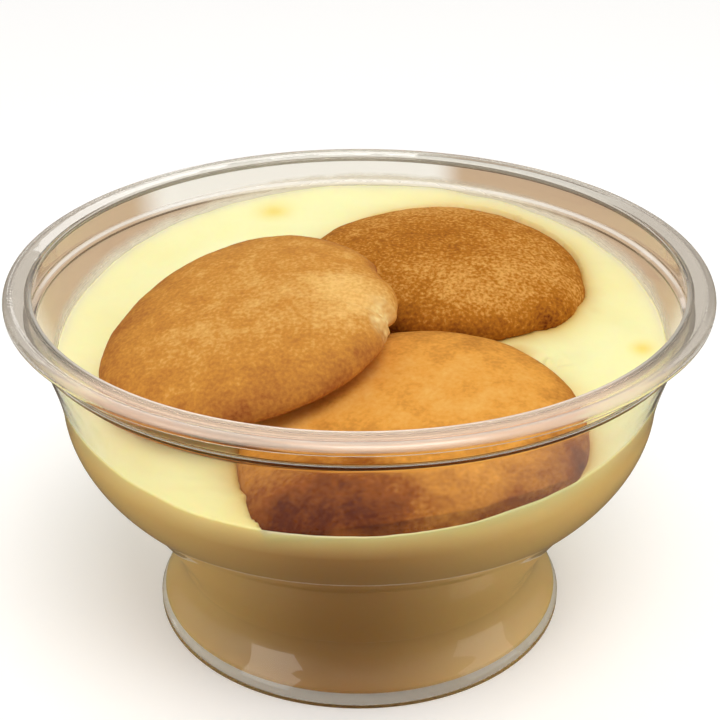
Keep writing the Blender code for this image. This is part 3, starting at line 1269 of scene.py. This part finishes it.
                # The side's painted shade grows from the pudding's line downwards.
                vertex[side] = side_shading * (self.line_shade + (1.0 - self.line_shade) * deep ** self.side_shade_power)
                vertex[shade] = shaded * deep ** self.shade_power
            else:
                radius = edge * math.hypot(vertex.co.x, vertex.co.y) / self.belly
                spot = Vector((radius * math.cos(angle), radius * math.sin(angle), 0.0))
                spot.z = self.surface(spot.x, spot.y)
                height, vertex[soak_and_shade] = self.bed(spot, wafers)
                vertex[soak_and_shade] = max(vertex[soak_and_shade], near_spots(spot, self.stains_and_shadows))
                far = clamped((spot.y - self.smear_from) / self.smear_run)
                vertex[smear] = far * math.exp(-(edge - radius) / self.smear_width)
                for x, y, reach in self.bananas:
                    away = math.hypot(spot.x - x, spot.y - y) / reach
                    vertex[banana] = max(vertex[banana], math.exp(-away * away))
            vertex.co = (radius * math.cos(angle), radius * math.sin(angle), height)

    def build(self, material: bpy.types.Material, wafers: list[BVHTree]) -> bpy.types.Object:
        """Build the pudding round the wafers and let it stand for its solid.

        Args:
            material: The cream.
            wafers: The wafers' search trees.

        Returns:
            The pudding.
        """
        work = lathe(self.profile(), self.steps)
        self.shape_top(work, wafers)
        bmesh.ops.recalc_face_normals(work, faces=work.faces)
        pudding = object_from("banana_pudding", work, material)
        dress(pudding, "pudding")
        return pudding


@dataclass(frozen=True)
class Softbox:
    """One soft area lamp, with its power in watts."""

    name: str
    place: tuple[float, float, float]
    size: Pair
    power: float
    colour: str

    def build(self, aim: Vector) -> None:
        """Hang the lamp.

        Args:
            aim: The point that it faces.
        """
        data = bpy.data.lights.new(self.name, "AREA")
        data.shape = "RECTANGLE"
        data.size, data.size_y = self.size
        data.energy = self.power
        data.color = linear(self.colour)[:3]
        lamp = bpy.data.objects.new(self.name, data)
        lamp.location = self.place
        lamp.rotation_euler = (aim - Vector(self.place)).to_track_quat("-Z", "Y").to_euler()
        bpy.context.scene.collection.objects.link(lamp)


@dataclass
class Studio:
    """The pale floor, soft lights and the camera."""

    camera_height: float = 145.44 * MM
    camera_distance: float = 207.53 * MM
    pitch: float = 27.371
    yaw: float = 0.025
    roll: float = -0.073
    focal_pixels: float = 1665.8
    sensor: float = 36.0
    clip_start: float = 0.01
    floor_size: float = 3.0
    floor_cells: int = 8
    floor_tones: tuple[str, str] = ("FCFBFA", "FEFEFD")
    floor_mottle: float = 300.0
    floor_roughness: float = 0.85
    floor_glow: float = 0.16
    aim: tuple[float, float, float] = (0.0, 0.0, 0.03)
    lamps: tuple[Softbox, ...] = (
        Softbox("overhead_softbox", (0.1, -0.3, 0.75), (0.5, 0.5), 3.35, "FFFDFA"),
        Softbox("right_fill", (0.8, -0.25, 0.2), (0.5, 0.5), 0.7, "FFFBF4"),
        Softbox("left_fill", (-0.6, -0.5, 0.35), (0.4, 0.4), 0.85, "FFFBF4"),
        Softbox("front_strip", (0.0, -0.45, 0.9), (0.8, 0.03), 0.2, "FFFFFF"),
        Softbox("back_strip", (-0.165, 0.8, 0.36), (0.42, 0.056), 0.2, "FFFFFF"),
        Softbox("back_strip_high", (-0.2, 0.7, 0.6), (0.6, 0.05), 0.2, "FFFFFF"),
    )
    sky_tones: tuple[tuple[float, str], ...] = (
        (0.0, "7A6A52"),
        (0.47, "A39684"),
        (0.56, "D8D2CA"),
        (0.75, "FFFFFF"),
    )
    front_gain: tuple[float, float, float, float] = (-0.8, 0.3, 0.45, 1.0)
    side_gain: tuple[float, float, float, float] = (0.3, 1.0, 0.0, 0.7)
    sky_strength: float = 0.54

    def camera(self) -> None:
        """Create the camera at the photograph's viewing angle."""
        data = bpy.data.cameras.new("camera")
        data.sensor_width = self.sensor
        data.lens = self.focal_pixels / IMAGE_SIZE * self.sensor
        data.clip_start = self.clip_start
        camera = bpy.data.objects.new("camera", data)
        bpy.context.scene.collection.objects.link(camera)
        pitch, yaw, roll = (math.radians(value) for value in (self.pitch, self.yaw, self.roll))
        forward = Vector((math.sin(yaw) * math.cos(pitch), math.cos(yaw) * math.cos(pitch), -math.sin(pitch)))
        level = Vector((math.cos(yaw), -math.sin(yaw), 0.0))
        right = level * math.cos(roll) + level.cross(forward) * math.sin(roll)
        turn = Matrix((right, right.cross(forward), -forward)).transposed().to_4x4()
        place = Matrix.Translation((0.0, -self.camera_distance, self.camera_height))
        camera.matrix_world = place @ turn
        bpy.context.scene.camera = camera

    def floor(self) -> None:
        """Lay the plain pale floor."""
        work = bmesh.new()
        cells = self.floor_cells
        bmesh.ops.create_grid(work, x_segments=cells, y_segments=cells, size=self.floor_size / 2.0)
        # Painted board: matt, warm white, with a trace of unevenness.
        material, tree, shader = new_material("pale_matt_floor")
        place = add_node(tree, "ShaderNodeTexCoord").outputs["Object"]
        tone = add_node(
            tree, "ShaderNodeTexNoise", {"Vector": place, "Scale": per_metre(self.floor_mottle)}
        ).outputs["Fac"]
        darker, lighter = self.floor_tones
        colour = layered(tree, linear(darker), ((tone, linear(lighter)),))
        tree.links.new(colour, shader.inputs["Base Color"])
        shader.inputs["Roughness"].default_value = self.floor_roughness
        shader.inputs["Emission Color"].default_value = linear("FFFFFF")
        shader.inputs["Emission Strength"].default_value = self.floor_glow
        floor = object_from("floor", work, material)
        floor.visible_diffuse = False
        floor.visible_glossy = False

    def sky(self) -> None:
        """Give the room a plain tone: bright overhead and at the sides, and dimmer in front."""
        world = bpy.data.worlds.new("studio")
        world.use_nodes = True
        tree = world.node_tree
        background = tree.nodes["Background"]
        direction = add_node(tree, "ShaderNodeTexCoord").outputs["Generated"]
        axes = add_node(tree, "ShaderNodeSeparateXYZ", {0: direction}).outputs
        up = add_node(tree, "ShaderNodeMapRange", {0: axes["Z"], 1: -1.0, 2: 1.0}).outputs[0]
        tone = set_ramp(
            add_node(tree, "ShaderNodeValToRGB", {0: up}),
            [(place, linear(code)) for place, code in self.sky_tones],
        )
        across = add_node(tree, "ShaderNodeMath", {0: axes["X"]}, operation="ABSOLUTE").outputs[0]
        front, sides = (
            add_node(tree, "ShaderNodeMapRange", {0: source, **dict(enumerate(limits, 1))}).outputs[0]
            for source, limits in ((axes["Y"], self.front_gain), (across, self.side_gain))
        )
        gain = add_node(tree, "ShaderNodeMath", {0: front, 1: sides}, operation="ADD").outputs[0]
        tone = add_node(
            tree,
            "ShaderNodeMix",
            {0: 1.0, 6: tone, 7: gain},
            data_type="RGBA",
            blend_type="MULTIPLY",
        ).outputs[2]
        tree.links.new(tone, background.inputs["Color"])
        background.inputs["Strength"].default_value = self.sky_strength
        bpy.context.scene.world = world

    def build(self) -> None:
        """Build the whole studio."""
        self.camera()
        self.floor()
        for lamp in self.lamps:
            lamp.build(Vector(self.aim))
        self.sky()
        view = bpy.context.scene.view_settings
        view.view_transform = "Standard"
        view.look = "None"


WAFERS = (
    VanillaWafer(
        place=Place.LEFT,
        centre=(-14.8 * MM, -5.7 * MM, 45.4 * MM),
        radius=20.6 * MM,
        lean=(0.180, 0.115),
        oval=(0.057, 62.0),
        three_sided=(0.029, -28.0),
        chips=((22.0, 9.0, 0.025), (-9.5, 4.5, 0.055), (-18.0, 6.0, 0.02)),
        bulge=(6.0, 8.0, 0.015),
        tones_and_shade=(
            (1.0, -8.5, 6.5, -0.36),
            (-31.0, -3.0, 9.0, 0.12),
            (-16.0, 12.0, 8.0, 0.06),
            (-14.0, -26.0, 7.0, 0.08),
        ),
        crumbs=((3.1, -9.3, 1.7, 1.0), (2.6, -12.3, 1.4, 0.7)),
        finish=WaferCrust("left_wafer_crust", "CC8C3C", "9E5C2C", "EEBE70", 0.12, 0.55),
        seed=11.0,
    ),
    VanillaWafer(
        place=Place.BACK,
        centre=(12.6 * MM, 17.4 * MM, 43.2 * MM),
        radius=20.1 * MM,
        lean=(-0.026, 0.023),
        oval=(0.032, -15.5),
        three_sided=(0.025, -45.0),
        chips=((-40.0, 12.0, -0.02), (-50.0, 5.0, 0.015), (-58.0, 10.0, 0.02)),
        bulge=(-20.0, 9.0, 0.02),
        tones_and_shade=(
            (14.0, 3.0, 7.0, -0.16),
            (27.0, 1.4, 1.3, 0.3),
            (22.0, 3.0, 6.0, -0.10),
            (31.5, 7.5, 2.4, -0.3),
            (29.0, 13.0, 8.0, -0.16),
            (12.0, 35.0, 9.0, -0.26),
            (11.0, 19.0, 9.0, 0.12),
        ),
        crumbs=(),
        finish=WaferCrust("back_wafer_crust", "B4701E", "8A4C16", "DAA052", 0.26, 0.5),
        seed=37.0,
    ),
    VanillaWafer(
        place=Place.FRONT,
        centre=(6.8 * MM, -21.95 * MM, 37.6 * MM),
        radius=21.7 * MM,
        lean=(0.093, 0.186),
        oval=(0.044, 20.0),
        three_sided=(0.020, -27.0),
        chips=(),
        bulge=(250.0, 45.0, 0.19),
        # Painted shade darkens the back top and the low front edge seen through the wall; painted light
        # brightens the left, where the left wafer's shadow falls.
        tones_and_shade=(
            (10.8, -9.0, 8.0, 0.06),
            (-12.0, -21.0, 6.0, -0.16),
            (-3.0, -36.5, 9.0, 0.44),
            (-9.0, -38.0, 6.0, 0.26),
            (4.5, -41.0, 6.5, 0.30),
            (18.0, -36.0, 7.0, 0.20),
            (27.5, -30.0, 5.0, 0.22),
        ),
        crumbs=(),
        finish=WaferCrust("front_wafer_crust", "E29E44", "8E4C14", "EEBA68", 0.07, 0.6),
        seed=71.0,
        undercut=2.2,
    ),
)


def main() -> None:
    """Build every piece, in order, and the studio round them."""
    logging.basicConfig(level=logging.INFO, format="%(name)s: %(message)s")
    trees = [wafer.build() for wafer in WAFERS]
    PuddingFill().build(PuddingCream().material(), trees)
    ClearCup().build(ClearPlastic().material())
    Studio().build()


if __name__ == "__main__":
    main()
